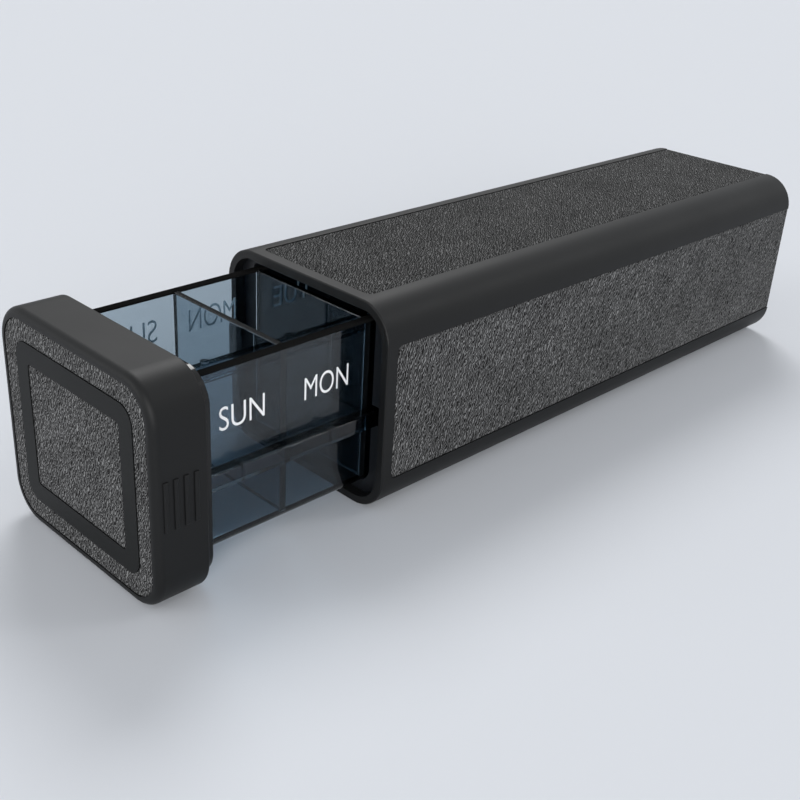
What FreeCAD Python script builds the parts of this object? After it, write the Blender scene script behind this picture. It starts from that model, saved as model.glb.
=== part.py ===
import FreeCAD, Part
import math
import os
import re

import Sketcher
from FreeCAD import Placement, Rotation, Vector

# Weekly pill drawer organizer, in millimetres.
# A clear drawer with seven compartments slides out of a rounded case on two side rails.
# X runs across the case, +Y runs from the mouth towards the rear end, and Z is up.
# The origin is the middle of the case's underside, and the drawer stands open at rest.

# Driving dimensions.
SIZES = {
    # Case sleeve.
    "case_width": 56.0,
    "case_height": 51.0,
    "case_length": 176.0,
    "corner_radius": 9.0,
    "sleeve_wall": 2.0,
    "mouth_depth": 2.6,
    "mouth_round": 0.4,
    # Leather panels, let in flush with the sleeve's faces.
    "panel_thickness": 0.6,
    "panel_gap": 0.12,
    "panel_corner": 1.5,
    "panel_front_margin": 3.2,
    "side_panel_height": 33.0,
    "flat_panel_width": 36.6,
    # Rear cover and its screws.
    "cover_thickness": 3.0,
    "cover_edge": 1.0,
    "cover_fit": 0.1,
    "screw_shank": 1.8,
    "screw_head": 3.8,
    "screw_head_height": 1.3,
    "screw_grip": 7.0,
    "screw_clearance": 0.1,
    "screw_hole_spare": 1.0,
    "head_round": 0.4,
    "driver_span": 2.2,
    "driver_arm": 0.55,
    "driver_depth": 0.7,
    "screw_from_side": 4.45,
    "screw_from_underside": 12.0,
    "screw_from_top": 12.0,
    # Guides inside the sleeve: floor, sides and roof of the drawer's channel.
    "guide_fit": 0.1,
    "guide_side": 4.7,
    "guide_floor": 2.5,
    "guide_roof": 1.7,
    "channel_corner": 4.0,
    "groove_floor_height": 20.8,
    "groove_height": 4.7,
    "groove_depth": 2.5,
    "stop_shoulder": 0.9,
    "shoulder_length": 6.0,
    # Hollows that lighten the guides' thick sides.
    "hollow_depth": 2.2,
    "hollow_length": 18.0,
    "hollow_pitch": 24.0,
    "hollow_count": 6,
    "hollow_start": 16.0,
    "lower_hollow_height": 10.0,
    "lower_hollow_rise": 6.5,
    "upper_hollow_height": 10.0,
    "upper_hollow_rise": 5.0,
    # Leaf springs that click on the rails' nubs.
    "spring_thickness": 0.3,
    "spring_height": 1.9,
    "spring_half_length": 8.0,
    "spring_nose_spread": 1.6,
    "spring_arm_spread": 4.8,
    "spring_valley": 0.45,
    "spring_nub_gap": 0.15,
    "spring_side_gap": 0.1,
    "spring_end_gap": 0.2,
    "spring_seat_depth": 1.7,
    # Drawer tray.
    "compartment_count": 7,
    "compartments_open": 2,
    "compartment_length": 22.2,
    "divider_thickness": 1.6,
    "divider_seat": 0.4,
    "divider_fit": 0.05,
    "divider_drop": 0.15,
    "divider_round": 0.4,
    "tray_front_wall": 2.7,
    "tray_end_wall": 2.2,
    "tray_wall": 2.2,
    "tray_floor": 2.0,
    "tray_corner": 2.5,
    "tray_rim_round": 0.5,
    "tray_side_gap": 0.8,
    "tray_floor_gap": 0.4,
    "tray_top_gap": 0.8,
    # Rails along the tray, with a nub for each compartment and a stop lug at the rear.
    "rail_floor_gap": 0.1,
    "rail_top_gap": 0.7,
    "rail_side_gap": 0.4,
    "rail_round": 0.35,
    "nub_radius": 1.1,
    "nub_reach": 0.25,
    "nub_rise": 0.5,
    "nub_forward": 1.5,
    "lug_gap": 0.3,
    "lug_height": 1.7,
    "lug_length": 2.0,
    # Cap on the front of the drawer.
    "cap_depth": 12.2,
    "cap_front_round": 1.7,
    "cap_wall": 2.0,
    "cap_front_wall": 2.4,
    "cap_border": 2.1,
    "cap_inlay_depth": 0.6,
    "ring_outer_inset": 6.7,
    "ring_inner_inset": 11.2,
    "ring_outer_corner": 4.0,
    "ring_inner_corner": 1.0,
    "inlay_gap": 0.08,
    # Grip ribs on the cap's two sides.
    "rib_width": 1.1,
    "rib_length": 11.0,
    "rib_height": 0.4,
    "rib_round": 0.3,
    "rib_pitch": 2.35,
    "rib_count": 4,
    "rib_first": 2.4,
    # Back of the cap, with the spigot that fits the mouth.
    "back_thickness": 2.0,
    "back_fit": 0.1,
    "spigot_depth": 2.3,
    "spigot_fit": 0.15,
    "spigot_tray_gap": 0.15,
    "rail_setback": 0.2,
    # Bosses and screws that hold the tray to the cap.
    "boss_radius": 2.8,
    "boss_fit": 0.1,
    "boss_across": 24.0,
    "boss_apart": 20.0,
    "cap_screw_shank": 2.3,
    "cap_screw_head": 7.6,
    "cap_screw_head_height": 1.6,
    "cap_screw_depth": 3.3,
}

# Heights, half widths and stations that follow from the driving dimensions.
FORMULAS = {
    "case_half": "case_width / 2",
    "front_y": "-case_length / 2",
    "back_y": "case_length / 2",
    "bore_half": "case_half - sleeve_wall",
    "bore_low": "sleeve_wall",
    "bore_high": "case_height - sleeve_wall",
    "bore_radius": "corner_radius - sleeve_wall",
    "guide_half": "bore_half - guide_fit",
    "guide_low": "bore_low + guide_fit",
    "guide_high": "bore_high - guide_fit",
    "guide_radius": "bore_radius - guide_fit",
    "guide_front_y": "front_y + mouth_depth",
    "guide_back_y": "back_y - cover_thickness",
    "guide_length": "guide_back_y - guide_front_y",
    "channel_half": "guide_half - guide_side",
    "channel_low": "guide_low + guide_floor",
    "channel_high": "guide_high - guide_roof",
    "groove_low": "groove_floor_height",
    "groove_high": "groove_low + groove_height",
    "groove_mouth_half": "channel_half + groove_depth",
    "groove_half": "groove_mouth_half + stop_shoulder",
    "shoulder_y": "guide_front_y + shoulder_length",
    "pitch": "compartment_length + divider_thickness",
    "tray_half": "channel_half - tray_side_gap",
    "tray_low": "channel_low + tray_floor_gap",
    "tray_high": "channel_high - tray_top_gap",
    "tray_inner_half": "tray_half - tray_wall",
    "tray_inner_low": "tray_low + tray_floor",
    "cells_length": "compartment_count * pitch - divider_thickness",
    "tray_length": "cells_length + tray_front_wall + tray_end_wall",
    "tray_front_y": "front_y - compartments_open * pitch",
    "tray_back_y": "tray_front_y + tray_length",
    "first_inner_y": "tray_front_y + tray_front_wall",
    "first_divider_y": "first_inner_y + compartment_length + divider_thickness / 2",
    "rail_low": "groove_low + rail_floor_gap",
    "rail_high": "groove_high - rail_top_gap",
    "rail_half": "groove_mouth_half - rail_side_gap",
    "rail_front_y": "tray_front_y + spigot_depth + rail_setback",
    "nub_x": "rail_half + nub_reach - nub_radius",
    "first_nub_y": "first_inner_y + compartment_length / 2 - nub_forward",
    "lug_half": "groove_half - lug_gap",
    "lug_high": "rail_low + lug_height",
    "spring_y": "first_nub_y + compartments_open * pitch",
    "spring_low": "rail_high - spring_height",
    "spring_seat_half": "groove_mouth_half + spring_seat_depth",
    "cap_front_y": "tray_front_y - cap_depth",
    "screw_x": "case_half - screw_from_side",
    "upper_screw_z": "case_height - screw_from_top",
    "boss_low_z": "(tray_low + tray_high - boss_apart) / 2",
    "boss_high_z": "(tray_low + tray_high + boss_apart) / 2",
}

# Coordinates closer than this are the same, and an edge longer than LONG_EDGE is a long one.
SAME_PLACE = 0.005
LONG_EDGE = 1.0
# A cut smaller than this volume has removed nothing.
LEAST_CUT = 0.001

doc = FreeCAD.newDocument("PillDrawerOrganizer")
sheet = doc.addObject("Spreadsheet::Sheet", "Sizes")


def fill_sheet():
    """Write each driving dimension as a plain number and each formula below them."""
    row = 0
    for alias, number in SIZES.items():
        row += 1
        sheet.set("A%d" % row, alias.replace("_", " "))
        sheet.set("B%d" % row, str(number))
        sheet.setAlias("B%d" % row, alias)
    for alias, formula in FORMULAS.items():
        row += 1
        sheet.set("A%d" % row, alias.replace("_", " "))
        sheet.set("B%d" % row, "=" + formula)
        sheet.setAlias("B%d" % row, alias)
    doc.recompute()


fill_sheet()


def cell_names(text):
    """The expression with each alias written as a cell of the sheet."""
    def cell(word):
        name = word.group()
        return "Sizes." + name if name in SIZES or name in FORMULAS else name
    return re.sub("[a-z_]+", cell, text)


def bind(thing, name, text):
    """Tie one property of an object to the sheet."""
    thing.setExpression(name, cell_names(text))


def size(text):
    """The present value of an expression in the sheet's aliases."""
    return float(sheet.evalExpression(text))


# Names of the sub-parts, in the order they are made.
subparts = []


def new_body(label):
    """An empty body that becomes the sub-part of that name."""
    body = doc.addObject("PartDesign::Body", label)
    body.Label = label
    subparts.append(body)
    return body


def new_sketch(body, name, plane, place):
    """A sketch on one of the body's own origin planes, moved to a station along its normal."""
    made = body.newObject("Sketcher::SketchObject", name)
    support = [item for item in body.Origin.OriginFeatures if item.Role == plane][0]
    made.AttachmentSupport = (support, [""])
    made.MapMode = "FlatFace"
    # The XZ plane's normal points to -Y.
    offset = "-(%s)" % place if plane == "XZ_Plane" else place
    bind(made, "AttachmentOffset.Base.z", offset)
    return made


def fix_point(made, line, end, across, up):
    """Hold one end of a line at two expressions, measured from the sketch's origin."""
    for kind, text in (("DistanceX", across), ("DistanceY", up)):
        index = made.addConstraint(Sketcher.Constraint(kind, -1, 1, line, end, size(text)))
        made.setExpression("Constraints[%d]" % index, cell_names(text))


def outline(made, corners):
    """A closed outline of straight lines through corners given as pairs of expressions."""
    points = [Vector(size(across), size(up), 0) for across, up in corners]
    first = made.GeometryCount
    count = len(points)
    for number in range(count):
        made.addGeometry(Part.LineSegment(points[number], points[(number + 1) % count]), False)
    for number in range(count):
        following = first + (number + 1) % count
        made.addConstraint(Sketcher.Constraint("Coincident", first + number, 2, following, 1))
        fix_point(made, first + number, 1, *corners[number])


def rectangle(made, left, right, low, high):
    """A rectangle between four expressions."""
    outline(made, [(left, low), (right, low), (right, high), (left, high)])


def mirrored_rectangles(made, inner, outer, low, high):
    """The same rectangle on the right and on the left."""
    rectangle(made, inner, outer, low, high)
    rectangle(made, "-(%s)" % outer, "-(%s)" % inner, low, high)


def circle(made, across, up, radius):
    """A circle whose centre and radius are expressions."""
    centre = Vector(size(across), size(up), 0)
    drawn = made.addGeometry(Part.Circle(centre, Vector(0, 0, 1), size(radius)), False)
    fix_point(made, drawn, 3, across, up)
    index = made.addConstraint(Sketcher.Constraint("Radius", drawn, size(radius)))
    made.setExpression("Constraints[%d]" % index, cell_names(radius))


def round_rectangle(made, left, right, low, high, radius):
    """A rectangle with four equal round corners, between four expressions."""
    x0, x1, z0, z1, r = [size(text) for text in (left, right, low, high, radius)]
    up = Vector(0, 0, 1)
    quarter = math.pi / 2
    first = made.GeometryCount
    sides = [((x0 + r, z0), (x1 - r, z0)), ((x1, z0 + r), (x1, z1 - r)),
             ((x1 - r, z1), (x0 + r, z1)), ((x0, z1 - r), (x0, z0 + r))]
    centres = [(x1 - r, z0 + r), (x1 - r, z1 - r), (x0 + r, z1 - r), (x0 + r, z0 + r)]
    for start, end in sides:
        made.addGeometry(Part.LineSegment(Vector(*start, 0), Vector(*end, 0)), False)
    for number, centre in enumerate(centres):
        arc = Part.Circle(Vector(*centre, 0), up, r)
        begin = (number - 1) * quarter
        made.addGeometry(Part.ArcOfCircle(arc, begin, begin + quarter), False)
    for number in range(4):
        side = first + number
        corner = first + 4 + number
        following = first + (number + 1) % 4
        made.addConstraint(Sketcher.Constraint("Tangent", side, 2, corner, 1))
        made.addConstraint(Sketcher.Constraint("Tangent", corner, 2, following, 1))
        if number:
            made.addConstraint(Sketcher.Constraint("Equal", first + 4, corner))
    made.addConstraint(Sketcher.Constraint("Horizontal", first))
    made.addConstraint(Sketcher.Constraint("Vertical", first + 1))
    edges = [("DistanceY", first, low), ("DistanceX", first + 1, right),
             ("DistanceY", first + 2, high), ("DistanceX", first + 3, left)]
    for kind, line, text in edges:
        index = made.addConstraint(Sketcher.Constraint(kind, -1, 1, line, 1, size(text)))
        made.setExpression("Constraints[%d]" % index, cell_names(text))
    index = made.addConstraint(Sketcher.Constraint("Radius", first + 4, r))
    made.setExpression("Constraints[%d]" % index, cell_names(radius))


def extrude(kind, made, length, towards):
    """Pad or pocket a sketch along its normal's axis, towards +1 or -1 of the global axis."""
    body = made.getParentGeoFeatureGroup()
    feature = body.newObject("PartDesign::" + kind, made.Name + kind)
    feature.Profile = made
    bind(feature, "Length", length)
    plane = made.AttachmentSupport[0][0].Role
    along_normal = -towards if plane == "XZ_Plane" else towards
    feature.Reversed = (along_normal < 0) if kind == "Pad" else (along_normal > 0)
    made.Visibility = False
    doc.recompute()
    return feature


def pad(made, length, towards):
    """Add the sketch's prism to its body."""
    return extrude("Pad", made, length, towards)


def pocket(made, length, towards):
    """Cut the sketch's prism from its body, and see that it removes material."""
    body = made.getParentGeoFeatureGroup()
    before = body.Shape.Volume
    feature = extrude("Pocket", made, length, towards)
    if body.Shape.Volume > before - LEAST_CUT:
        raise RuntimeError("%s cuts nothing" % feature.Name)
    return feature


def repeat(feature, count, spacing, towards=1):
    """Copies of a feature along the body's Y axis."""
    body = feature.getParentGeoFeatureGroup()
    pattern = body.newObject("PartDesign::LinearPattern", feature.Name + "Row")
    pattern.Originals = [feature]
    axis = [item for item in body.Origin.OriginFeatures if item.Role == "Y_Axis"][0]
    pattern.Direction = (axis, [""])
    pattern.Reversed = towards < 0
    pattern.Mode = "Spacing"
    bind(pattern, "Offset", spacing)
    bind(pattern, "Occurrences", count)
    body.Tip = pattern
    doc.recompute()
    return pattern


def edges_where(shape, wanted):
    """Names of the edges for which wanted(points) holds, with points along the edge."""
    names = []
    for number, edge in enumerate(shape.Edges):
        if wanted(edge.discretize(5)):
            names.append("Edge%d" % (number + 1))
    return names


def near(value, text):
    """Whether a coordinate lies at an expression."""
    return abs(value - size(text)) < SAME_PLACE


def rounded(body, name, radius, wanted):
    """Fillet the edges of the body's last feature for which wanted(points) holds."""
    base = body.Tip
    names = edges_where(base.Shape, wanted)
    if not names:
        raise RuntimeError("%s finds no edge" % name)
    feature = body.newObject("PartDesign::Fillet", name)
    feature.Base = (base, names)
    bind(feature, "Radius", radius)
    doc.recompute()
    return feature


def long_edges_at(half, height):
    """A test for straight edges along Y at a half width and a height."""
    def wanted(points):
        return all(near(abs(p.x), half) and near(p.z, height) for p in points)
    return wanted


def edges_on(axis, place):
    """A test for edges that lie in a plane across one axis, on either side for X."""
    def wanted(points):
        return all(near(abs(p.x) if axis == "x" else getattr(p, axis), place) for p in points)
    return wanted


def long_edges_on(axis, place, along):
    """A test for long edges in such a plane that run along another axis."""
    in_plane = edges_on(axis, place)

    def wanted(points):
        length = abs(getattr(points[0], along) - getattr(points[-1], along))
        return in_plane(points) and length > LONG_EDGE
    return wanted


# ---- Case: sleeve, panels, guides, springs and rear cover ----

def case_sleeve():
    """The outer tube, open at the mouth, with a ledge for the rear cover and panel seats."""
    body = new_body("case_sleeve")
    tube = new_sketch(body, "SleeveSection", "XZ_Plane", "front_y")
    round_rectangle(tube, "-case_half", "case_half", "0", "case_height", "corner_radius")
    pad(tube, "case_length", 1)
    rounded(body, "SleeveMouthRound", "mouth_round", edges_on("y", "front_y"))
    bore = new_sketch(body, "SleeveBore", "XZ_Plane", "front_y")
    round_rectangle(bore, "-bore_half", "bore_half", "bore_low", "bore_high", "bore_radius")
    pocket(bore, "case_length", 1)
    ledge = new_sketch(body, "SleeveLedge", "XZ_Plane", "back_y")
    round_rectangle(ledge, "cover_edge - case_half", "case_half - cover_edge", "cover_edge",
                    "case_height - cover_edge", "corner_radius - cover_edge")
    pocket(ledge, "cover_thickness", -1)
    seat_front = "front_y + panel_front_margin - panel_gap"
    seat_back = "back_y + 2 * panel_corner"
    for name, place, towards in (("Top", "case_height", -1), ("Base", "0", 1)):
        seat = new_sketch(body, "SleeveSeat" + name, "XY_Plane", place)
        half = "flat_panel_width / 2 + panel_gap"
        round_rectangle(seat, "-(%s)" % half, half, seat_front, seat_back, "panel_corner")
        pocket(seat, "panel_thickness", towards)
    for name, place, towards in (("Right", "case_half", -1), ("Left", "-case_half", 1)):
        seat = new_sketch(body, "SleeveSeat" + name, "YZ_Plane", place)
        low = "(case_height - side_panel_height) / 2 - panel_gap"
        high = "(case_height + side_panel_height) / 2 + panel_gap"
        round_rectangle(seat, seat_front, seat_back, low, high, "panel_corner")
        pocket(seat, "panel_thickness", towards)


def leather_panel(label, place, extent, front_edges):
    """A thin panel from the front margin to the rear end, with two round front corners."""
    block = doc.addObject("Part::Box", label + "_block")
    for name, text in zip(("Length", "Width", "Height"), extent):
        bind(block, name, text)
    for name, text in zip("xyz", place):
        bind(block, "Placement.Base." + name, text)
    doc.recompute()
    panel = doc.addObject("Part::Fillet", label)
    panel.Base = block
    radius = size("panel_corner - panel_gap")
    panel.Edges = [(number, radius, radius) for number in front_edges(block.Shape)]
    block.Visibility = False
    panel.Label = label
    subparts.append(panel)
    doc.recompute()


def leather_panels():
    """Panels on the two sides, the top and the underside, all flush with the sleeve."""
    length = "case_length - panel_front_margin"
    start = "front_y + panel_front_margin"
    low = "(case_height - side_panel_height) / 2"

    def front_corners(axis):
        def numbers(shape):
            found = []
            for number, edge in enumerate(shape.Edges):
                points = edge.discretize(3)
                at_front = all(near(p.y, start) for p in points)
                if at_front and abs(getattr(points[0] - points[2], axis)) > SAME_PLACE:
                    found.append(number + 1)
            return found
        return numbers

    side = ("panel_thickness", length, "side_panel_height")
    flat = ("flat_panel_width", length, "panel_thickness")
    across = "-flat_panel_width / 2"
    leather_panel("right_leather_panel", ("case_half - panel_thickness", start, low), side,
                  front_corners("x"))
    leather_panel("left_leather_panel", ("-case_half", start, low), side, front_corners("x"))
    leather_panel("top_leather_panel", (across, start, "case_height - panel_thickness"), flat,
                  front_corners("z"))
    leather_panel("base_leather_panel", (across, start, "0"), flat, front_corners("z"))


def guide_hollows(body, low, height):
    """Rows of hollows in both outer sides, and a screw hole in each side's rear end."""
    for name, place, towards in (("Right", "guide_half", -1), ("Left", "-guide_half", 1)):
        hollow = new_sketch(body, body.Name + "Hollow" + name, "YZ_Plane", place)
        start = "shoulder_y + hollow_start"
        rectangle(hollow, start, start + " + hollow_length", low, "%s + %s" % (low, height))
        repeat(pocket(hollow, "hollow_depth", towards), "hollow_count", "hollow_pitch")


def guide_screw_holes(body, height):
    """Blind holes for the rear cover's screws."""
    holes = new_sketch(body, body.Name + "ScrewHoles", "XZ_Plane", "guide_back_y")
    for across in ("screw_x", "-screw_x"):
        circle(holes, across, height, "screw_shank / 2 + screw_clearance / 2")
    pocket(holes, "screw_grip + screw_hole_spare", -1)


def lower_guide():
    """Floor and lower sides of the channel, with the rail grooves and the spring seats."""
    body = new_body("lower_guide")
    section = new_sketch(body, "LowerSection", "XZ_Plane", "guide_front_y")
    right = [("guide_half", "guide_low"), ("guide_half", "groove_high"),
             ("groove_mouth_half", "groove_high"), ("groove_mouth_half", "groove_low"),
             ("channel_half", "groove_low"), ("channel_half", "channel_low")]
    left = [("-" + across, height) for across, height in reversed(right)]
    outline(section, right + left)
    pad(section, "guide_length", 1)
    rounded(body, "LowerOuterRound", "guide_radius", long_edges_at("guide_half", "guide_low"))
    rounded(body, "LowerChannelRound", "channel_corner",
            long_edges_at("channel_half", "channel_low"))
    deep = new_sketch(body, "LowerDeepGroove", "XZ_Plane", "shoulder_y")
    mirrored_rectangles(deep, "groove_mouth_half", "groove_half", "groove_low", "groove_high")
    pocket(deep, "guide_length", 1)
    seat = new_sketch(body, "SpringSeats", "XY_Plane", "groove_high")
    reach = "(spring_half_length + spring_end_gap)"
    mirrored_rectangles(seat, "groove_mouth_half", "spring_seat_half",
                        "spring_y - " + reach, "spring_y + " + reach)
    pocket(seat, "groove_high - spring_low + spring_side_gap", -1)
    guide_hollows(body, "guide_low + lower_hollow_rise", "lower_hollow_height")
    guide_screw_holes(body, "screw_from_underside")


def upper_guide():
    """Roof and upper sides of the channel, which close the rail grooves from above."""
    body = new_body("upper_guide")
    section = new_sketch(body, "UpperSection", "XZ_Plane", "guide_front_y")
    right = [("channel_half", "groove_high"), ("guide_half", "groove_high"),
             ("guide_half", "guide_high")]
    left = [("-" + across, height) for across, height in reversed(right)]
    roof = [("-channel_half", "channel_high"), ("channel_half", "channel_high")]
    outline(section, right + left + roof)
    pad(section, "guide_length", 1)
    rounded(body, "UpperOuterRound", "guide_radius", long_edges_at("guide_half", "guide_high"))
    rounded(body, "UpperChannelRound", "tray_rim_round + tray_side_gap",
            long_edges_at("channel_half", "channel_high"))
    guide_hollows(body, "groove_high + upper_hollow_rise", "upper_hollow_height")
    guide_screw_holes(body, "upper_screw_z")


def detent_spring(label, side):
    """A leaf spring with two noses; a nub on the rail clicks into the valley between them."""
    body = new_body(label)
    strip = new_sketch(body, label + "_strip", "XY_Plane", "spring_low")
    seat = "spring_seat_half - spring_side_gap - spring_thickness"
    nose = "rail_half + nub_reach + spring_nub_gap"
    line = [("-spring_half_length", seat), ("-spring_arm_spread", seat),
            ("-spring_nose_spread", nose), ("0", nose + " + spring_valley"),
            ("spring_nose_spread", nose), ("spring_arm_spread", seat),
            ("spring_half_length", seat)]
    inner = [("%s * (%s)" % (side, across), "spring_y + " + along) for along, across in line]
    outer = [("%s * (%s + spring_thickness)" % (side, across), "spring_y + " + along)
             for along, across in reversed(line)]
    outline(strip, inner + outer)
    pad(strip, "spring_height", 1)


def rear_cover():
    """The plate that closes the rear end, seated on the sleeve's ledge."""
    body = new_body("rear_cover")
    plate = new_sketch(body, "CoverPlate", "XZ_Plane", "guide_back_y")
    inset = "(cover_edge + cover_fit)"
    round_rectangle(plate, inset + " - case_half", "case_half - " + inset, inset,
                    "case_height - " + inset, "corner_radius - " + inset)
    pad(plate, "cover_thickness", 1)
    rounded(body, "CoverEdgeRound", "mouth_round", edges_on("y", "back_y"))
    places = [(across, height) for across in ("screw_x", "-screw_x")
              for height in ("screw_from_underside", "upper_screw_z")]
    holes = new_sketch(body, "CoverHoles", "XZ_Plane", "back_y")
    sinks = new_sketch(body, "CoverSinks", "XZ_Plane", "back_y")
    for across, height in places:
        circle(holes, across, height, "screw_shank / 2 + screw_clearance")
        circle(sinks, across, height, "screw_head / 2 + screw_clearance")
    pocket(holes, "cover_thickness", -1)
    pocket(sinks, "screw_head_height + screw_clearance", -1)


def screw_shape(shank, length, head, head_height):
    """A pan head screw along +Y with its head's underside at the origin and a cross recess."""
    along = Vector(0, 1, 0)
    body = Part.makeCylinder(shank / 2, length, Vector(0, 0, 0), along)
    top = Part.makeCylinder(head / 2, head_height, Vector(0, -head_height, 0), along)
    rim = [edge for edge in top.Edges if edge.BoundBox.YMax < SAME_PLACE - head_height]
    top = top.makeFillet(size("head_round"), rim)
    span, arm, depth = [size(text) for text in ("driver_span", "driver_arm", "driver_depth")]
    for wide, tall in ((span, arm), (arm, span)):
        cut = Part.makeBox(wide, depth, tall, Vector(-wide / 2, -head_height, -tall / 2))
        top = top.cut(cut)
    return body.fuse(top)


def screw_group(label, screw, places, turn):
    """One node of identical screws, each a solid of its own."""
    group = doc.addObject("Part::Feature", label)
    copies = []
    for place in places:
        copy = screw.copy()
        copy.Placement = Placement(place, turn)
        copies.append(copy)
    group.Shape = Part.makeCompound(copies)
    group.Label = label
    group.Placement = Placement()
    subparts.append(group)


def rear_cover_screws():
    """Four screws from behind, through the rear cover into the two guides."""
    under_cover = size("cover_thickness - screw_head_height - screw_clearance")
    screw = screw_shape(size("screw_shank"), under_cover + size("screw_grip"),
                        size("screw_head"), size("screw_head_height"))
    head_y = size("back_y - screw_head_height - screw_clearance")
    places = [Vector(side * size("screw_x"), head_y, size(height))
              for side in (1, -1) for height in ("screw_from_underside", "upper_screw_z")]
    screw_group("rear_cover_screws", screw, places, Rotation(Vector(0, 0, 1), 180))


# ---- Drawer: tray, dividers and cap ----

def tray():
    """The clear drawer: floor, walls, side rails, nubs, stop lugs and seats for dividers."""
    body = new_body("tray")
    block = new_sketch(body, "TrayBlock", "XZ_Plane", "tray_front_y")
    rectangle(block, "-tray_half", "tray_half", "tray_low", "tray_high")
    pad(block, "tray_length", 1)
    rounded(body, "TrayCornerRound", "tray_corner", long_edges_at("tray_half", "tray_low"))
    cavity = new_sketch(body, "TrayCavity", "XY_Plane", "tray_high")
    rectangle(cavity, "-tray_inner_half", "tray_inner_half", "first_inner_y",
              "tray_back_y - tray_end_wall")
    pocket(cavity, "tray_high - tray_inner_low", -1)
    rounded(body, "TrayRimRound", "tray_rim_round", edges_on("z", "tray_high"))
    rails = new_sketch(body, "TrayRails", "XZ_Plane", "rail_front_y")
    mirrored_rectangles(rails, "tray_half - tray_wall / 2", "rail_half", "rail_low", "rail_high")
    pad(rails, "tray_back_y - rail_front_y", 1)
    rounded(body, "TrayRailRound", "rail_round", long_edges_on("x", "rail_half", "y"))
    nubs = new_sketch(body, "TrayNubs", "XY_Plane", "rail_low + rail_round")
    circle(nubs, "nub_x", "first_nub_y", "nub_radius")
    circle(nubs, "-nub_x", "first_nub_y", "nub_radius")
    nub_pad = pad(nubs, "rail_high + nub_rise - rail_low - rail_round", 1)
    repeat(nub_pad, "compartment_count", "pitch")
    lugs = new_sketch(body, "TrayLugs", "XZ_Plane", "tray_back_y")
    mirrored_rectangles(lugs, "tray_half", "lug_half", "rail_low", "lug_high")
    pad(lugs, "lug_length", -1)
    seats = new_sketch(body, "TrayDividerSeats", "XY_Plane", "tray_high")
    seat_half = "tray_inner_half + divider_seat"
    thick_half = "(divider_thickness / 2 + divider_fit)"
    rectangle(seats, "-(%s)" % seat_half, seat_half, "first_divider_y - " + thick_half,
              "first_divider_y + " + thick_half)
    seat_cut = pocket(seats, "tray_high - tray_inner_low + divider_seat", -1)
    repeat(seat_cut, "compartment_count - 1", "pitch")
    bosses = new_sketch(body, "TrayBosses", "XZ_Plane", "tray_front_y")
    holes_place = "tray_front_y - back_thickness + boss_fit"
    for across in ("boss_across / 2", "-boss_across / 2"):
        for height in ("boss_low_z", "boss_high_z"):
            circle(bosses, across, height, "boss_radius")
    pad(bosses, "back_thickness - boss_fit", -1)
    holes = new_sketch(body, "TrayBossHoles", "XZ_Plane", holes_place)
    for across in ("boss_across / 2", "-boss_across / 2"):
        for height in ("boss_low_z", "boss_high_z"):
            circle(holes, across, height, "cap_screw_shank / 2 + screw_clearance / 2")
    pocket(holes, "cap_screw_depth", 1)


def divider(label, number):
    """A plate across the tray, seated in the slots of the walls and the floor."""
    body = new_body(label)
    middle = "first_divider_y + %d * pitch" % number
    plate = new_sketch(body, label + "_plate", "XZ_Plane", middle + " - divider_thickness / 2")
    half = "tray_inner_half + divider_seat - divider_fit"
    low = "tray_inner_low - divider_seat + divider_fit"
    high = "tray_high - divider_drop"
    rectangle(plate, "-(%s)" % half, half, low, high)
    pad(plate, "divider_thickness", 1)
    rounded(body, label + "_round", "divider_round", long_edges_on("z", high, "x"))


def cap_shell():
    """The cup-shaped front of the cap, with grip ribs and the seat of its inlays."""
    body = new_body("cap_shell")
    block = new_sketch(body, "CapBlock", "XZ_Plane", "cap_front_y")
    round_rectangle(block, "-case_half", "case_half", "0", "case_height", "corner_radius")
    pad(block, "cap_depth", 1)
    rounded(body, "CapFrontRound", "cap_front_round", edges_on("y", "cap_front_y"))
    rounded(body, "CapBackRound", "mouth_round", edges_on("y", "tray_front_y"))
    hollow = new_sketch(body, "CapHollow", "XZ_Plane", "tray_front_y")
    round_rectangle(hollow, "cap_wall - case_half", "case_half - cap_wall", "cap_wall",
                    "case_height - cap_wall", "corner_radius - cap_wall")
    pocket(hollow, "cap_depth - cap_front_wall", -1)
    inlay = new_sketch(body, "CapInlaySeat", "XZ_Plane", "cap_front_y")
    round_rectangle(inlay, "cap_border - case_half", "case_half - cap_border", "cap_border",
                    "case_height - cap_border", "corner_radius - cap_border")
    pocket(inlay, "cap_inlay_depth", 1)
    for name, place, towards in (("Right", "case_half", 1), ("Left", "-case_half", -1)):
        rib = new_sketch(body, "CapRib" + name, "YZ_Plane",
                         "%s - %d * rib_height" % (place, towards))
        start = "cap_front_y + rib_first - rib_width / 2"
        rectangle(rib, start, start + " + rib_width", "(case_height - rib_length) / 2",
                  "(case_height + rib_length) / 2")
        repeat(pad(rib, "2 * rib_height", towards), "rib_count", "rib_pitch")
    rounded(body, "CapRibRound", "rib_round", edges_on("x", "case_half + rib_height"))


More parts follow.
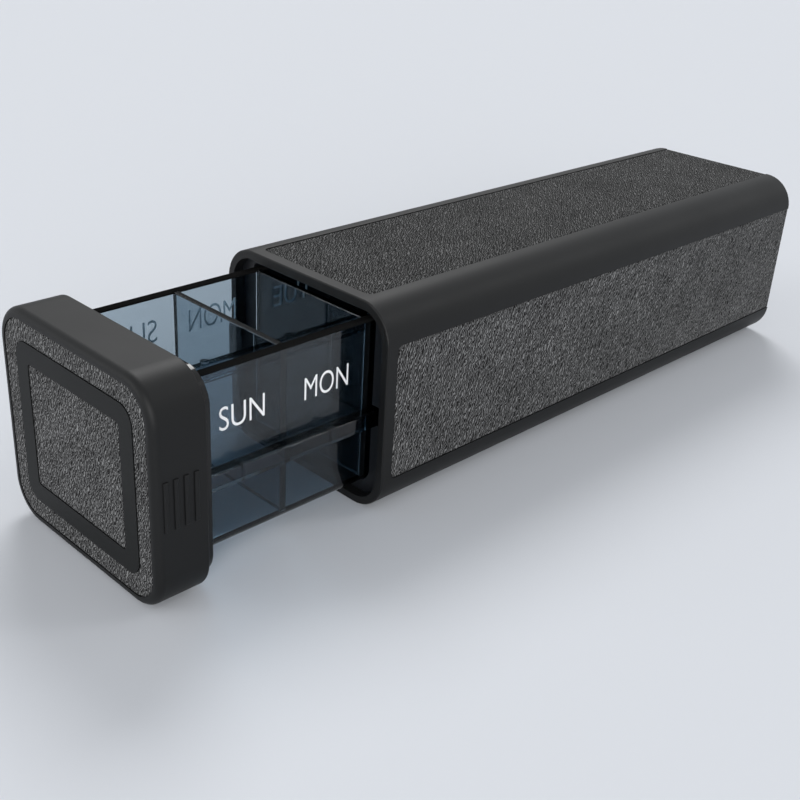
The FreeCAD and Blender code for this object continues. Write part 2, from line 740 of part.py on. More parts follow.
def cap_back():
    """The plate that closes the cap, with the spigot ring around the tray's front."""
    body = new_body("cap_back")
    plate = new_sketch(body, "BackPlate", "XZ_Plane", "tray_front_y")
    inset = "(cap_wall + back_fit)"
    round_rectangle(plate, inset + " - case_half", "case_half - " + inset, inset,
                    "case_height - " + inset, "corner_radius - " + inset)
    pad(plate, "back_thickness", -1)
    spigot = new_sketch(body, "BackSpigot", "XZ_Plane", "tray_front_y")
    round_rectangle(spigot, "spigot_fit - bore_half", "bore_half - spigot_fit",
                    "bore_low + spigot_fit", "bore_high - spigot_fit",
                    "bore_radius - spigot_fit")
    rectangle(spigot, "-(tray_half + spigot_tray_gap)", "tray_half + spigot_tray_gap",
              "tray_low - spigot_tray_gap", "tray_high + spigot_tray_gap")
    pad(spigot, "spigot_depth", 1)
    holes = new_sketch(body, "BackBossHoles", "XZ_Plane", "tray_front_y")
    for across in ("boss_across / 2", "-boss_across / 2"):
        for height in ("boss_low_z", "boss_high_z"):
            circle(holes, across, height, "boss_radius + boss_fit")
    pocket(holes, "back_thickness", -1)


def cap_screws():
    """Four washer head screws inside the cap, which clamp its back to the tray's bosses."""
    screw = screw_shape(size("cap_screw_shank"), size("cap_screw_depth - boss_fit"),
                        size("cap_screw_head"), size("cap_screw_head_height"))
    places = [Vector(side * size("boss_across / 2"), size("tray_front_y - back_thickness"),
                     size(height))
              for side in (1, -1) for height in ("boss_low_z", "boss_high_z")]
    screw_group("cap_screws", screw, places, Rotation())


def inlay(label, outer, outer_corner, inner, inner_corner):
    """A flat inlay on the cap's seat between two insets; inner is None for a full piece."""
    body = new_body(label)
    face = new_sketch(body, label + "_face", "XZ_Plane", "cap_front_y + cap_inlay_depth")
    round_rectangle(face, outer + " - case_half", "case_half - " + outer, outer,
                    "case_height - " + outer, outer_corner)
    if inner:
        round_rectangle(face, inner + " - case_half", "case_half - " + inner, inner,
                        "case_height - " + inner, inner_corner)
    pad(face, "cap_inlay_depth", -1)


def cap_inlays():
    """Leather frame, black ring and leather centre on the cap's front."""
    inlay("cap_leather_frame", "(cap_border + inlay_gap)",
          "corner_radius - cap_border - inlay_gap", "(ring_outer_inset - inlay_gap)",
          "ring_outer_corner + inlay_gap")
    inlay("cap_ring", "ring_outer_inset", "ring_outer_corner", "ring_inner_inset",
          "ring_inner_corner")
    inlay("cap_leather_centre", "(ring_inner_inset + inlay_gap)",
          "ring_inner_corner - inlay_gap", None, None)


DIVIDERS = ("divider_sun_mon", "divider_mon_tue", "divider_tue_wed", "divider_wed_thu",
            "divider_thu_fri", "divider_fri_sat")

case_sleeve()
leather_panels()
lower_guide()
upper_guide()
detent_spring("right_detent_spring", 1)
detent_spring("left_detent_spring", -1)
rear_cover()
rear_cover_screws()
tray()
for number, label in enumerate(DIVIDERS):
    divider(label, number)
cap_shell()
cap_back()
cap_screws()
cap_inlays()

doc.recompute()
for item in doc.Objects:
    if "Invalid" in item.State or "Error" in item.State:
        raise RuntimeError("%s failed: %s" % (item.Name, item.State))
for item in subparts:
    if item.Shape.isNull() or not item.Shape.isValid():
        raise RuntimeError("%s has no valid shape" % item.Label)

os.makedirs("parts", exist_ok=True)
for item in subparts:
    item.Shape.exportStep("parts/%s.step" % item.Label)
    print("%-22s %2d solids %10.1f mm3" % (item.Label, len(item.Shape.Solids), item.Shape.Volume))
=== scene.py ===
import math

import bmesh
import bpy
from mathutils import Matrix, Vector, noise


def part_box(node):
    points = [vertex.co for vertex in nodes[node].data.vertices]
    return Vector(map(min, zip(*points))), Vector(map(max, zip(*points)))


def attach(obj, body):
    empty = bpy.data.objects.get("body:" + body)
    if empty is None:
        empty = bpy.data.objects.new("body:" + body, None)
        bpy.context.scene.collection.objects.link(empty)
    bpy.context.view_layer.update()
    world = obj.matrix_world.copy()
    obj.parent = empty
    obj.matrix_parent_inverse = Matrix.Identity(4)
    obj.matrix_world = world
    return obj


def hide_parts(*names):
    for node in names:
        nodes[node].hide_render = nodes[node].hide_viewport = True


# The dressed weekly pill drawer organizer. All lengths are in metres, or in MM where named so.

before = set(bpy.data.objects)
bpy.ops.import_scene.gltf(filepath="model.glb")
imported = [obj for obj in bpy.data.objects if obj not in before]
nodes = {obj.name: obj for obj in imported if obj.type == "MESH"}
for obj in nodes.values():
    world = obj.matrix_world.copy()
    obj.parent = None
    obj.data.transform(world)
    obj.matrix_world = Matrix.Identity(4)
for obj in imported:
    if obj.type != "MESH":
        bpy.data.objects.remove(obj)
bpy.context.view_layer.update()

MM = 0.001
DAYS = ("sun", "mon", "tue", "wed", "thu", "fri", "sat")
DIVIDERS = ["divider_%s_%s" % pair for pair in zip(DAYS, DAYS[1:])]

# ---- Camera: its place, turn in degrees, and lens ----
CAMERA_PLACE_MM = (184.00, -247.94, 141.59)
CAMERA_AZIMUTH = 43.495
CAMERA_ELEVATION = 26.462
CAMERA_ROLL = 3.482
CAMERA_LENS_MM = 51.397
CAMERA_SENSOR_MM = 36
CAMERA_CLIP_M = (0.01, 20)


def add_camera():
    """A camera at the viewing angle of the reference view."""
    azimuth, elevation, roll = map(math.radians, (CAMERA_AZIMUTH, CAMERA_ELEVATION, CAMERA_ROLL))
    back = Vector((math.sin(azimuth) * math.cos(elevation),
                   -math.cos(azimuth) * math.cos(elevation), math.sin(elevation)))
    level_right = (-back).cross(Vector((0, 0, 1))).normalized()
    level_up = back.cross(level_right)
    right = level_right * math.cos(roll) + level_up * math.sin(roll)
    up = level_up * math.cos(roll) - level_right * math.sin(roll)
    data = bpy.data.cameras.new("camera")
    data.sensor_width = CAMERA_SENSOR_MM
    data.lens = CAMERA_LENS_MM
    data.clip_start, data.clip_end = CAMERA_CLIP_M
    camera = bpy.data.objects.new("camera", data)
    bpy.context.scene.collection.objects.link(camera)
    turn = Matrix((right, up, back)).transposed().to_4x4()
    camera.matrix_world = Matrix.Translation(Vector(CAMERA_PLACE_MM) * MM) @ turn
    bpy.context.scene.camera = camera


# ---- Node helpers ----

def material(name):
    """A new material, its node tree and Principled shader, and a function that adds nodes."""
    made = bpy.data.materials.new(name)
    made.use_nodes = True
    tree = made.node_tree
    shader = tree.nodes["Principled BSDF"]

    def add(kind, links=(), **values):
        """A new node with these settings and input values, fed by (output, input) links."""
        node = tree.nodes.new(kind)
        for key, value in values.items():
            if hasattr(node, key):
                setattr(node, key, value)
            else:
                node.inputs[key.replace("_", " ")].default_value = value
        for source, socket in links:
            tree.links.new(source, node.inputs[socket])
        return node
    return made, tree, shader, add


def grey(value):
    """A neutral colour."""
    return (value, value, value)


def ramp(add, source, stops):
    """A colour ramp through (place, colour) stops."""
    node = add("ShaderNodeValToRGB", [(source, "Fac")])
    elements = node.color_ramp.elements
    while len(elements) < len(stops):
        elements.new(0.5)
    for element, (place, colour) in zip(elements, stops):
        element.position = place
        element.color = (*colour, 1)
    return node.outputs["Color"]


def noise_ramp(add, source, low, high):
    """A colour ramp over a noise node's usual values, which lie near the middle."""
    return ramp(add, source.outputs["Fac"], [(0.3, low), (0.7, high)])


def noise_node(add, place, scale, detail):
    """A noise texture; its scale is in features per metre."""
    return add("ShaderNodeTexNoise", [(place, "Vector")], Scale=scale, Detail=detail)


def paint(made, *names):
    """Give CAD nodes a material."""
    for name in names:
        data = nodes[name].data
        data.materials.clear()
        data.materials.append(made)


# ---- Materials ----
MOULD_GRAIN_SCALE = 2600.0
MOULD_GRAIN_DEPTH_MM = 0.04
MOULD_PATCH_SCALE = 55.0
# How much darker and lighter, and how much glossier and duller, the patches are.
MOULD_TINT_RANGE = (0.93, 1.07)
MOULD_ROUGHNESS_SPREAD = 0.03


def moulded_plastic(name, colour, rough, specular, grain):
    """Moulded plastic: a fine spark-eroded grain of the given strength, slightly uneven gloss."""
    made, tree, shader, add = material(name)
    place = add("ShaderNodeTexCoord").outputs["Object"]
    fine = noise_node(add, place, MOULD_GRAIN_SCALE, detail=3.0)
    broad = noise_node(add, place, MOULD_PATCH_SCALE, detail=4.0)
    tint = noise_ramp(add, broad, *(tuple(c * share for c in colour) for share in MOULD_TINT_RANGE))
    gloss = noise_ramp(add, broad, grey(rough - MOULD_ROUGHNESS_SPREAD),
                       grey(rough + MOULD_ROUGHNESS_SPREAD))
    bump = add("ShaderNodeBump", [(fine.outputs["Fac"], "Height")], Strength=grain,
               Distance=MOULD_GRAIN_DEPTH_MM * MM)
    tree.links.new(tint, shader.inputs["Base Color"])
    tree.links.new(gloss, shader.inputs["Roughness"])
    tree.links.new(bump.outputs["Normal"], shader.inputs["Normal"])
    shader.inputs["Specular IOR Level"].default_value = specular
    return made


# The leather's creases: how close they lie, how bent they are, their colour from groove to
# ridge, which paints shade into the grooves and a highlight onto the ridges, and their depth.
CREASE_SCALE = 1100.0
CREASE_DISTORTION = 7.0
CREASE_PAINTED_SHADE_AND_HIGHLIGHT = ((0.0, 0.010), (0.5, 0.048), (1.0, 0.25))
CREASE_DEPTH_MM = 0.2
# How far a noise of its own pushes them out of line, and how fine that noise is.
CREASE_DRIFT_MM = 0.8
CREASE_DRIFT_SCALE = 950.0
# Broad patches of shade over the creases.
WEAR_SCALE = 90.0
WEAR_RANGE = (0.72, 1.0)
LEATHER_ROUGHNESS = 0.75
LEATHER_SPECULAR = 0.08


def leather_material(name, fineness, turn, stretch, tone_and_painted_shade):
    """Grey artificial leather: fine wormy creases along one direction, with patchy shade.

    A higher fineness sets the creases closer together, a higher tone makes them lighter, and a tone
    well below 1 paints shade over the whole piece. The grooves carry painted shade and the ridges a
    painted highlight."""
    made, tree, shader, add = material(name)
    place = add("ShaderNodeTexCoord").outputs["Object"]
    drift = noise_node(add, place, CREASE_DRIFT_SCALE * fineness, detail=1.0)
    centred = add("ShaderNodeVectorMath", [(drift.outputs["Color"], 0)], operation="SUBTRACT")
    centred.inputs[1].default_value = grey(0.5)
    pushed = add("ShaderNodeVectorMath", [(centred.outputs[0], 0)], operation="SCALE")
    pushed.inputs["Scale"].default_value = CREASE_DRIFT_MM / fineness * MM
    moved = add("ShaderNodeVectorMath", [(place, 0), (pushed.outputs[0], 1)], operation="ADD")
    turned = add("ShaderNodeMapping", [(moved.outputs[0], "Vector")])
    turned.inputs["Rotation"].default_value = turn
    mapping = add("ShaderNodeMapping", [(turned.outputs["Vector"], "Vector")])
    mapping.inputs["Scale"].default_value = stretch
    creases = add("ShaderNodeTexWave", [(mapping.outputs["Vector"], "Vector")],
                  bands_direction="DIAGONAL", Scale=CREASE_SCALE * fineness,
                  Distortion=CREASE_DISTORTION, Detail=1.5, Detail_Scale=1.2,
                  Detail_Roughness=0.5)
    patches = noise_node(add, place, WEAR_SCALE, detail=3.0)
    # Painted shade in the grooves and a painted highlight on the ridges, from the same waves that
    # drive the bump.
    shade = ramp(add, creases.outputs["Fac"],
                 [(stop, grey(value * tone_and_painted_shade)) for stop, value in CREASE_PAINTED_SHADE_AND_HIGHLIGHT])
    patch = noise_ramp(add, patches, *map(grey, WEAR_RANGE))
    mixed = add("ShaderNodeMix", data_type="RGBA", blend_type="MULTIPLY")
    mixed.inputs["Factor"].default_value = 1.0
    tree.links.new(shade, mixed.inputs[6])
    tree.links.new(patch, mixed.inputs[7])
    bump = add("ShaderNodeBump", [(creases.outputs["Fac"], "Height")], Strength=1.0,
               Distance=CREASE_DEPTH_MM * MM)
    tree.links.new(mixed.outputs[2], shader.inputs["Base Color"])
    tree.links.new(bump.outputs["Normal"], shader.inputs["Normal"])
    shader.inputs["Roughness"].default_value = LEATHER_ROUGHNESS
    shader.inputs["Specular IOR Level"].default_value = LEATHER_SPECULAR
    return made


SMOKE_TINT = (0.10, 0.30, 0.42)
SMOKE_DENSITY = 400.0
SMOKE_IOR = 1.5
# How much of a lamp's light each surface lets in.
SMOKE_LAMP_SHARE = 0.92
# Painted shade: a matt dark band along the tray's rim, and at the ends of each divider, where the
# tinted plastic is seen edge-on.
RIM_PAINTED_SHADE_MM = 0.6
SLOT_PAINTED_SHADE_MM = 0.5
PAINTED_EDGE_SHADE = 0.008


def smoke_plastic_with_painted_edge(name, axis, painted_shade_from_mm):
    """Polished clear plastic with a smoky blue tint that deepens with its thickness.

    Lamps shine through it. Farther out along the axis than the given distance in millimetres it is
    matt and dark: painted shade that stands for how tinted plastic looks edge-on, at a plate's ends
    in their slots and at a tray's rim."""
    made, tree, shader, add = material(name)
    shader.inputs["Base Color"].default_value = (1, 1, 1, 1)
    shader.inputs["Transmission Weight"].default_value = 1.0
    shader.inputs["Roughness"].default_value = 0.0
    shader.inputs["IOR"].default_value = SMOKE_IOR
    clear = add("ShaderNodeBsdfTransparent")
    clear.inputs["Color"].default_value = (*grey(SMOKE_LAMP_SHARE), 1)
    rays = add("ShaderNodeLightPath")
    surface = add("ShaderNodeMixShader", [(rays.outputs["Is Shadow Ray"], 0),
                                          (shader.outputs["BSDF"], 1), (clear.outputs["BSDF"], 2)])
    place = add("ShaderNodeTexCoord").outputs["Object"]
    along = add("ShaderNodeSeparateXYZ", [(place, "Vector")]).outputs[axis]
    reach = add("ShaderNodeMath", [(along, 0)], operation="ABSOLUTE")
    in_painted_shade = add("ShaderNodeMath", [(reach.outputs[0], 0)], operation="GREATER_THAN")
    in_painted_shade.inputs[1].default_value = painted_shade_from_mm * MM
    # Painted shade: a matt dark diffuse takes the clear plastic's place in the band.
    band = add("ShaderNodeBsdfDiffuse")
    band.inputs["Color"].default_value = (*grey(PAINTED_EDGE_SHADE), 1)
    surface = add("ShaderNodeMixShader", [(in_painted_shade.outputs[0], 0), (surface.outputs[0], 1),
                                          (band.outputs[0], 2)])
    tint = add("ShaderNodeVolumeAbsorption", Density=SMOKE_DENSITY)
    tint.inputs["Color"].default_value = (*SMOKE_TINT, 1)
    output = [node for node in tree.nodes if node.type == "OUTPUT_MATERIAL"][0]
    tree.links.new(surface.outputs[0], output.inputs["Surface"])
    tree.links.new(tint.outputs["Volume"], output.inputs["Volume"])
    return made


STEEL_GRAIN_SCALE = 1500.0
STEEL_ROUGHNESS_SPREAD = 0.06


def steel(name, colour, rough):
    """Plain bright steel, a little duller in some spots than in others."""
    made, tree, shader, add = material(name)
    place = add("ShaderNodeTexCoord").outputs["Object"]
    grain = noise_node(add, place, STEEL_GRAIN_SCALE, detail=2.0)
    gloss = noise_ramp(add, grain, grey(rough - STEEL_ROUGHNESS_SPREAD),
                       grey(rough + STEEL_ROUGHNESS_SPREAD))
    tree.links.new(gloss, shader.inputs["Roughness"])
    shader.inputs["Base Color"].default_value = (*colour, 1)
    shader.inputs["Metallic"].default_value = 1.0
    return made


PRINT_PATCH_SCALE = 900.0
PRINT_RANGE = (0.84, 0.93)
PRINT_ROUGHNESS = 0.5


def print_white():
    """Flat white print, a little uneven where the pad pressed it."""
    made, tree, shader, add = material("print_white")
    place = add("ShaderNodeTexCoord").outputs["Object"]
    uneven = noise_node(add, place, PRINT_PATCH_SCALE, detail=2.0)
    tree.links.new(noise_ramp(add, uneven, *map(grey, PRINT_RANGE)), shader.inputs["Base Color"])
    shader.inputs["Roughness"].default_value = PRINT_ROUGHNESS
    return made


# ---- Leather pieces: thin sheets let into their seats ----
# The side of a mesh square on their face.
MESH_STEP_MM = 0.4
# Their edges roll down, and their face is crinkled at two sizes, in waves per millimetre.
ROLL_WIDTH_MM = 0.4
ROLL_DROP_MM = 0.14
CRINKLE_MM = 0.05
CRINKLE_PER_MM = (0.9, 2.1)
# How far the face lies under the CAD face.
SKIN_SINK_MM = 0.02


class Seat:
    """The flat seat of a leather piece: its centre, its two face directions and its outside."""

    def __init__(self, node, along, across, outside):
        low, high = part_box(node)
        low, high = Vector(low) / MM, Vector(high) / MM
        middle = (low + high) / 2
        size = high - low
        self.along, self.across, self.outside = map(Vector, (along, across, outside))
        self.half_long = abs(size.dot(self.along)) / 2
        self.half_wide = abs(size.dot(self.across)) / 2
        self.thickness = abs(size.dot(self.outside))
        self.centre = middle + self.outside * (self.thickness / 2)

    def point(self, u, v, height):
        """A place on the seat, in metres; height 0 is the CAD face."""
        spot = self.centre + self.along * u + self.across * v + self.outside * height
        return spot * MM


def edge_distance(u, v, half_long, half_wide, radius):
    """How far a point lies inside a rounded rectangle."""
    p = abs(u) - (half_long - radius)
    q = abs(v) - (half_wide - radius)
    return radius - math.hypot(max(p, 0), max(q, 0)) - min(max(p, q), 0)


def surface_height(spot_mm, inside):
    """The leather's height from its CAD face: crinkled, and rolled down at its edges."""
    crinkle = sum(noise.noise(spot_mm * scale) for scale in CRINKLE_PER_MM) / 2
    roll = max(0.0, 1 - inside / ROLL_WIDTH_MM)
    return -SKIN_SINK_MM - CRINKLE_MM * (1 - crinkle) - ROLL_DROP_MM * roll * roll


def into_round_corner(u, v, half_long, half_wide, radius):
    """Move a grid point of a rectangle into the same rectangle with a round corner."""
    p = abs(u) - (half_long - radius)
    q = abs(v) - (half_wide - radius)
    if p <= 0 or q <= 0:
        return u, v
    shrink = max(p, q) / math.hypot(p, q)
    return (math.copysign(half_long - radius + p * shrink, u),
            math.copysign(half_wide - radius + q * shrink, v))


def close_below(mesh, seat, rim):
    """Carry the rim loop down to the seat's floor, and return the loop there."""
    drop_mm = seat.thickness - ROLL_DROP_MM - SKIN_SINK_MM - 2 * CRINKLE_MM
    floor = [mesh.verts.new(vertex.co - seat.outside * drop_mm * MM) for vertex in rim]
    for number, vertex in enumerate(rim):
        after = (number + 1) % len(rim)
        mesh.faces.new((vertex, floor[number], floor[after], rim[after]))
    return floor


def finish_leather(node, mesh, made, body):
    """Turn the mesh into a sheet of leather that stands for the CAD node."""
    name = node + "_skin"
    bmesh.ops.recalc_face_normals(mesh, faces=mesh.faces)
    data = bpy.data.meshes.new(name)
    mesh.to_mesh(data)
    mesh.free()
    data.materials.append(made)
    for face in data.polygons:
        face.use_smooth = len(face.vertices) == 4
    piece = bpy.data.objects.new(name, data)
    bpy.context.scene.collection.objects.link(piece)
    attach(piece, body)
    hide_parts(node)


# The radius that stands for a square corner.
SQUARE_CORNER_MM = 0.01


def leather_sheet(node, seat, corner, square_back, made, body):
    """A sheet with round corners; with square_back its far corners stay square."""
    columns = round(2 * seat.half_long / MESH_STEP_MM)
    rows = round(2 * seat.half_wide / MESH_STEP_MM)
    mesh = bmesh.new()
    grid = []
    for i in range(columns + 1):
        line = []
        for j in range(rows + 1):
            u = (2 * i / columns - 1) * seat.half_long
            v = (2 * j / rows - 1) * seat.half_wide
            radius = SQUARE_CORNER_MM if square_back and u > 0 else corner
            u, v = into_round_corner(u, v, seat.half_long, seat.half_wide, radius)
            inside = edge_distance(u, v, seat.half_long, seat.half_wide, radius)
            spot = seat.point(u, v, 0) / MM
            line.append(mesh.verts.new(seat.point(u, v, surface_height(spot, inside))))
        grid.append(line)
    for i in range(columns):
        for j in range(rows):
            mesh.faces.new((grid[i][j], grid[i + 1][j], grid[i + 1][j + 1], grid[i][j + 1]))
    rim = ([grid[i][0] for i in range(columns)] + [grid[columns][j] for j in range(rows)]
           + [grid[i][rows] for i in range(columns, 0, -1)]
           + [grid[0][j] for j in range(rows, 0, -1)])
    mesh.faces.new(close_below(mesh, seat, rim))
    finish_leather(node, mesh, made, body)


def round_loop(half_long, half_wide, radius, count):
    """Points around a rounded rectangle, in step with those of any other such loop."""
    points = []
    for number in range(count):
        turn = 2 * math.pi * number / count
        c, s = math.cos(turn), math.sin(turn)
        reach = 1 / max(abs(c), abs(s))
        points.append(into_round_corner(c * reach * half_long, s * reach * half_wide,
                                        half_long, half_wide, radius))
    return points


def leather_ring(node, seat, corner, hole_half_long, hole_half_wide, hole_corner, made, body):
    """A flat ring of leather between two rounded rectangles."""
    count = round(4 * (seat.half_long + seat.half_wide) / MESH_STEP_MM)
    rows = round((seat.half_long - hole_half_long) / MESH_STEP_MM)
    outer = round_loop(seat.half_long, seat.half_wide, corner, count)
    inner = round_loop(hole_half_long, hole_half_wide, hole_corner, count)
    mesh = bmesh.new()
    loops = []
    for row in range(rows + 1):
        share = row / rows
        loop = []
        for (u0, v0), (u1, v1) in zip(outer, inner):
            u, v = u0 + (u1 - u0) * share, v0 + (v1 - v0) * share
            from_outer = edge_distance(u, v, seat.half_long, seat.half_wide, corner)
            from_hole = -edge_distance(u, v, hole_half_long, hole_half_wide, hole_corner)
            spot = seat.point(u, v, 0) / MM
            height = surface_height(spot, min(from_outer, from_hole))
            loop.append(mesh.verts.new(seat.point(u, v, height)))
        loops.append(loop)
    for row in range(rows):
        for i in range(count):
            j = (i + 1) % count
            mesh.faces.new((loops[row][i], loops[row][j], loops[row + 1][j], loops[row + 1][i]))
    outer_floor = close_below(mesh, seat, loops[0])
    inner_floor = close_below(mesh, seat, list(reversed(loops[-1])))[::-1]
    for i in range(count):
        j = (i + 1) % count
        mesh.faces.new((outer_floor[i], inner_floor[i], inner_floor[j], outer_floor[j]))
    finish_leather(node, mesh, made, body)


PANEL_CORNER_MM = 1.4
CAP_CORNER_MM = 6.8
RING_OUTER_CORNER_MM = 4.1
CENTRE_CORNER_MM = 0.9
# The joint between the leather frame of the cap and its ring.
RING_GAP_MM = 0.08
BACK, FRONT = (0, 1, 0), (0, -1, 0)
RIGHT, LEFT = (1, 0, 0), (-1, 0, 0)
UP, DOWN = (0, 0, 1), (0, 0, -1)


def leather_pieces(side, flat, cap):
    """Every leather piece of the case and of the cap."""
    for name, outside in (("right_leather_panel", RIGHT), ("left_leather_panel", LEFT)):
        leather_sheet(name, Seat(name, BACK, UP, outside), PANEL_CORNER_MM, True, side, "case")
    for name, outside in (("top_leather_panel", UP), ("base_leather_panel", DOWN)):
        leather_sheet(name, Seat(name, BACK, RIGHT, outside), PANEL_CORNER_MM, True, flat, "case")
    centre = Seat("cap_leather_centre", RIGHT, UP, FRONT)
    leather_sheet("cap_leather_centre", centre, CENTRE_CORNER_MM, False, cap, "drawer")
    ring = Seat("cap_ring", RIGHT, UP, FRONT)
    leather_ring("cap_leather_frame", Seat("cap_leather_frame", RIGHT, UP, FRONT), CAP_CORNER_MM,
                 ring.half_long + RING_GAP_MM, ring.half_wide + RING_GAP_MM,
                 RING_OUTER_CORNER_MM, cap, "drawer")


# ---- Labels ----
# Height of the letters, and how high they stand, on each side of the tray.
LETTER_HEIGHT_MM = {"right": 5.5, "left": 5.7}
LABEL_BASE_MM = {"right": 32.4, "left": 34.9}
# Width of a letter against the font's own, and the widest that a word may be.
LETTER_NARROWING = 0.825
WORD_WIDTH_MM = 12.5
# A capital's height against the font's size.
CAP_HEIGHT_SHARE = 0.729
LETTER_CURVE_STEPS = 6
PRINT_THICKNESS_MM = 0.03
# How much each side of a stroke is drawn in.
STROKE_THINNING_MM = 0.05
# How far a word stands behind its compartment's middle.
WORD_SHIFT_MM = {"sun_right": 0.45, "mon_right": -0.7, "sun_left": 1.1, "mon_left": -0.7}
# From the tray's middle to the outside of its long walls.
TRAY_HALF_MM = 20.4


def day_labels(made):
    """The days' short names printed on both long walls of the tray, one per compartment.

    Wide words are narrowed to WORD_WIDTH_MM."""
    first, second = [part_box(name)[0][1] / MM for name in DIVIDERS[:2]]
    pitch = second - first
    divider_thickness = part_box(DIVIDERS[0])[1][1] / MM - first
    first_middle = first - (pitch - divider_thickness) / 2
    for number, day in enumerate(DAYS):
        for side, hand in ((1, "right"), (-1, "left")):
            along_mm = (first_middle + number * pitch
                        + WORD_SHIFT_MM.get("%s_%s" % (day, hand), 0))
            words = bpy.data.curves.new("label", "FONT")
            words.body = day.upper()
            words.align_x = "CENTER"
            words.size = (LETTER_HEIGHT_MM[hand] + 2 * STROKE_THINNING_MM) / CAP_HEIGHT_SHARE
            words.offset = -STROKE_THINNING_MM
            words.extrude = PRINT_THICKNESS_MM / 2
            words.resolution_u = LETTER_CURVE_STEPS
            words.materials.append(made)
            label = bpy.data.objects.new("label_%s_%s" % (day, hand), words)
            bpy.context.scene.collection.objects.link(label)
            bpy.context.view_layer.update()
            narrowing = min(LETTER_NARROWING, WORD_WIDTH_MM / label.dimensions.x)
            along = Vector((0, side, 0)) * narrowing
            turn = Matrix((along, Vector((0, 0, 1)), Vector((side, 0, 0)))).transposed().to_4x4()
            place = Vector((side * (TRAY_HALF_MM + PRINT_THICKNESS_MM), along_mm,
                            LABEL_BASE_MM[hand]))
            label.matrix_world = Matrix.Scale(MM, 4) @ Matrix.Translation(place) @ turn
            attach(label, "drawer")


# ---- Stage ----
FLOOR_SIZE_M = 30
FLOOR_DROP_MM = 0.05
FLOOR_COLOUR = (0.70, 0.72, 0.76)
FLOOR_ROUGHNESS = 0.9
FLOOR_SPECULAR = 0.1
WORLD_COLOUR = (0.94, 0.97, 1.0)
WORLD_STRENGTH = 0.45
# How much brighter the world looks to the camera, in gloss and through clear plastic, so that
# it meets the floor without a horizon.
BACKDROP_GAIN = 1.9
# A calm, dim part of the studio, behind and to the left of the object. Its edges are cosines
# of the angle from its middle.
DIM_DIRECTION = (-0.68, 0.61, 0.40)
DIM_STRENGTH = 0.10
DIM_EDGES = (0.86, 0.97)
# Name, direction, apparent width in radians and strength of each soft lamp.
LAMPS = (("sheen", (-0.52, 0.47, 0.71), 0.45, 1.42),
         ("back_right", (0.446, 0.649, 0.616), 0.25, 0.24),
         ("front_right", (0.70, -0.62, 0.30), 0.63, 1.85),
         ("front_left", (-0.45, -0.85, 0.25), 0.63, 0.73))


def add_floor():
    """A pale floor, just under the object."""
    bpy.ops.mesh.primitive_plane_add(size=FLOOR_SIZE_M, location=(0, 0, -FLOOR_DROP_MM * MM))
    floor = bpy.context.object
    floor.name = "floor"
    made, _, shader, _ = material("floor")
    shader.inputs["Base Color"].default_value = (*FLOOR_COLOUR, 1)
    shader.inputs["Roughness"].default_value = FLOOR_ROUGHNESS
    shader.inputs["Specular IOR Level"].default_value = FLOOR_SPECULAR
    floor.data.materials.append(made)


def add_world():
    """A pale world with one dim side, brighter where it is seen than where it lights."""
    world = bpy.data.worlds.new("world")
    bpy.context.scene.world = world
    world.use_nodes = True
    tree = world.node_tree

    def combined(operation, first, second):
        """The result of a math node."""
        node = tree.nodes.new("ShaderNodeMath")
        node.operation = operation
        tree.links.new(first, node.inputs[0])
        tree.links.new(second, node.inputs[1])
        return node.outputs[0]

    def mapped(source, **values):
        """A node that maps one range of the source to another."""
        node = tree.nodes.new("ShaderNodeMapRange")
        for name, value in values.items():
            node.inputs[name.replace("_", " ")].default_value = value
        tree.links.new(source, node.inputs["Value"])
        return node

    direction = tree.nodes.new("ShaderNodeTexCoord")
    towards_dim = tree.nodes.new("ShaderNodeVectorMath")
    towards_dim.operation = "DOT_PRODUCT"
    towards_dim.inputs[1].default_value = Vector(DIM_DIRECTION).normalized()
    tree.links.new(direction.outputs["Generated"], towards_dim.inputs[0])
    dimmed = mapped(towards_dim.outputs["Value"], From_Min=DIM_EDGES[0], From_Max=DIM_EDGES[1],
                    To_Min=WORLD_STRENGTH, To_Max=DIM_STRENGTH)
    dimmed.interpolation_type = "SMOOTHSTEP"
    rays = tree.nodes.new("ShaderNodeLightPath")
    seen = rays.outputs["Is Camera Ray"]
    for kind in ("Is Glossy Ray", "Is Transmission Ray"):
        seen = combined("MAXIMUM", seen, rays.outputs[kind])
    gain = mapped(seen, To_Min=1.0, To_Max=BACKDROP_GAIN)
    background = tree.nodes["Background"]
    background.inputs["Color"].default_value = (*WORLD_COLOUR, 1)
    tree.links.new(combined("MULTIPLY", dimmed.outputs["Result"], gain.outputs["Result"]),
                   background.inputs["Strength"])


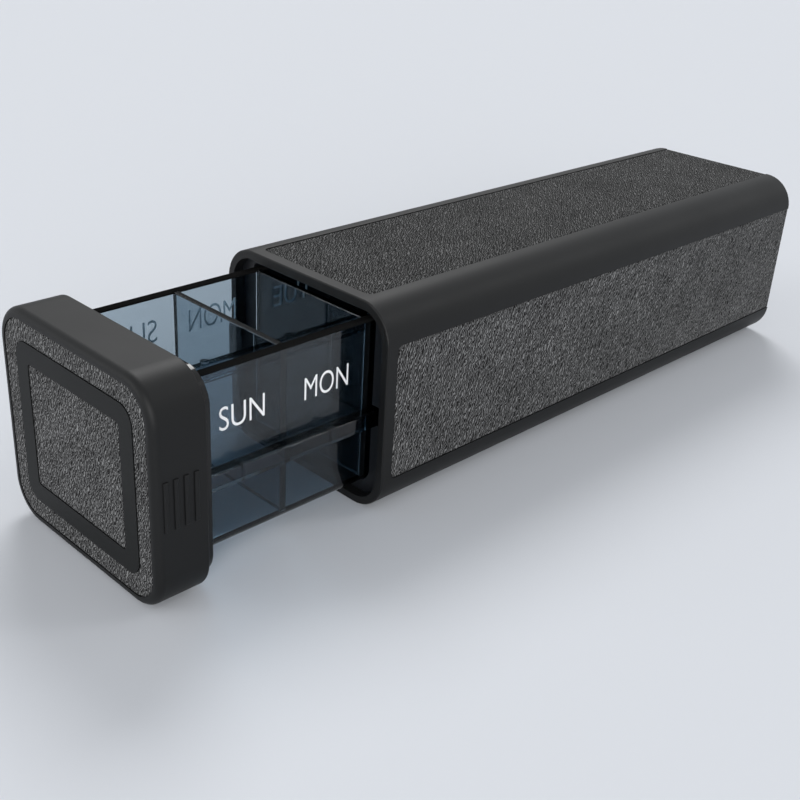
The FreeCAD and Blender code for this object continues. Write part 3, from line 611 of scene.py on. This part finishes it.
def add_lamps():
    """The soft lamps."""
    for name, direction, width, strength in LAMPS:
        data = bpy.data.lights.new(name, "SUN")
        data.angle = width
        data.energy = strength
        lamp = bpy.data.objects.new(name, data)
        away = Vector(direction).normalized()
        lamp.location = away
        lamp.rotation_mode = "QUATERNION"
        lamp.rotation_quaternion = (-away).to_track_quat("-Z", "Y")
        bpy.context.scene.collection.objects.link(lamp)


# ---- The scene ----
add_camera()
soft_touch = moulded_plastic("soft_touch", (0.0060, 0.0062, 0.0064), rough=0.5, specular=0.23,
                             grain=0.2)
guide_plastic = moulded_plastic("guide_plastic", (0.007, 0.008, 0.010), rough=0.4, specular=0.3,
                                grain=0.15)
ring_plastic = moulded_plastic("ring_plastic", (0.009, 0.0095, 0.0095), rough=0.5, specular=0.12,
                               grain=0.15)
gloss_plastic = moulded_plastic("gloss_plastic", (0.003, 0.003, 0.0032), rough=0.1, specular=0.35,
                                grain=0.0)
paint(soft_touch, "case_sleeve", "rear_cover", "cap_shell")
paint(guide_plastic, "lower_guide", "upper_guide")
paint(gloss_plastic, "cap_back")
paint(ring_plastic, "cap_ring")
# How the creases run on upright and on flat pieces: a small stretch draws them out.
upright_run = {"turn": (0, 0, 0), "stretch": (1, 1, -0.28)}
flat_run = {"turn": (0, 0, math.radians(-29)), "stretch": (1.2, 0.2, 1)}
side_leather = leather_material("side_leather", fineness=1.0, tone_and_painted_shade=1.05, **upright_run)
# Painted shade: the flat pieces are the same leather as the upright ones, darkened by a lower tone
# because of how the light falls on the top.
flat_leather_painted_shade = leather_material("flat_leather_painted_shade", fineness=0.9, tone_and_painted_shade=0.70, **flat_run)
cap_leather = leather_material("cap_leather", fineness=1.2, tone_and_painted_shade=1.02, **upright_run)
leather_pieces(side_leather, flat_leather_painted_shade, cap_leather)
tray_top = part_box("tray")[1][2] / MM
# The tray's rim and the dividers' ends carry a band of painted shade.
paint(smoke_plastic_with_painted_edge("smoke_plastic_with_painted_edge", "Z", tray_top - RIM_PAINTED_SHADE_MM), "tray")
divider_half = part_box(DIVIDERS[0])[1][0] / MM
paint(smoke_plastic_with_painted_edge("divider_smoke_painted_ends", "X", divider_half - SLOT_PAINTED_SHADE_MM), *DIVIDERS)
spring_steel = steel("spring_steel", (0.62, 0.62, 0.6), rough=0.3)
screw_steel = steel("screw_steel", (0.5, 0.5, 0.5), rough=0.35)
paint(spring_steel, "right_detent_spring", "left_detent_spring")
paint(screw_steel, "rear_cover_screws", "cap_screws")
day_labels(print_white())
add_floor()
add_world()
add_lamps()
bpy.context.scene.view_settings.view_transform = "Standard"
